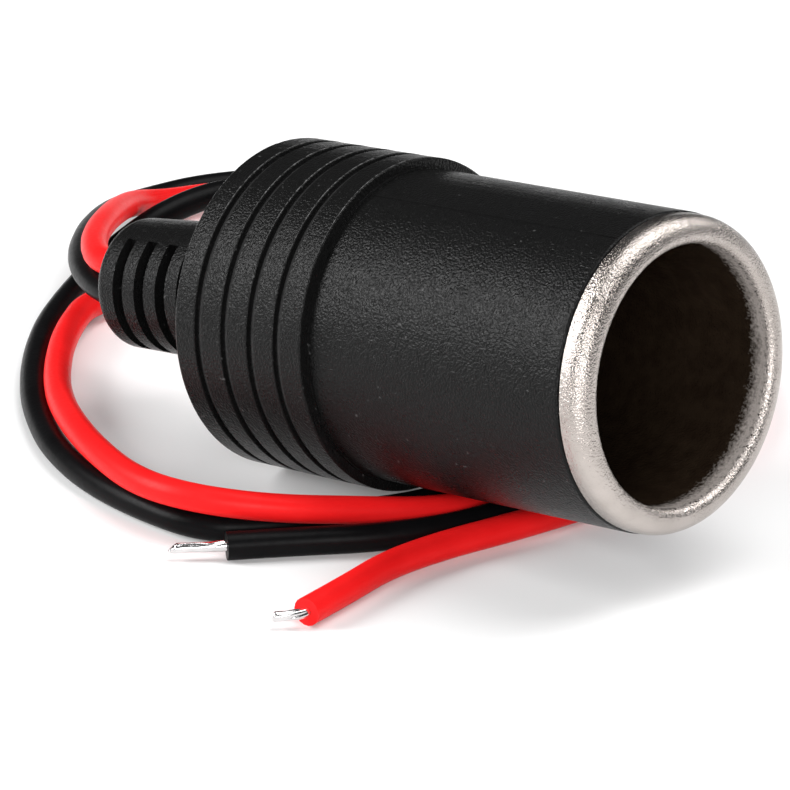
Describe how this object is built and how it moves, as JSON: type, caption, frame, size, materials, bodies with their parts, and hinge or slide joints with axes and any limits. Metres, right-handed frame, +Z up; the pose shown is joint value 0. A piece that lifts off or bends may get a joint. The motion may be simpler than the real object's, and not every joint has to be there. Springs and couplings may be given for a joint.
{
  "type": "car power socket with wire leads",
  "caption": "Round 12 V car power socket with a rolled metal rim in a black moulded housing with a ribbed collar and slotted boot, and red and black stripped leads.",
  "frame": {"origin": "on the floor, under the middle of the socket's length, in the plane that halves the socket", "axes": "+X along the socket towards its mouth, which points up by 6.3 degrees from +X; +Z up; +Y to the left of someone looking along +X"},
  "size_m": [0.0959, 0.0806, 0.0313],
  "materials": {
    "housing_pvc": "fine moulded grain",
    "nickel_shell": "satin nickel plate",
    "insulator": "pressed fibre",
    "brass": "plain",
    "red_pvc": "satin",
    "black_pvc": "satin",
    "tinned_copper": "solder tinned strands"
  },
  "bodies": {
    "root": {"housing": "housing_pvc", "socket_shell": "nickel_shell", "insulating_bush": "insulator", "insulating_washer": "insulator", "centre_contact": "brass", "positive_terminal": "brass", "negative_terminal": "brass", "red_lead": "red_pvc", "black_lead": "black_pvc", "red_lead_tip": "tinned_copper", "black_lead_tip": "tinned_copper", "red_lead_root": "tinned_copper", "black_lead_root": "tinned_copper"}
  },
  "joints": []
}
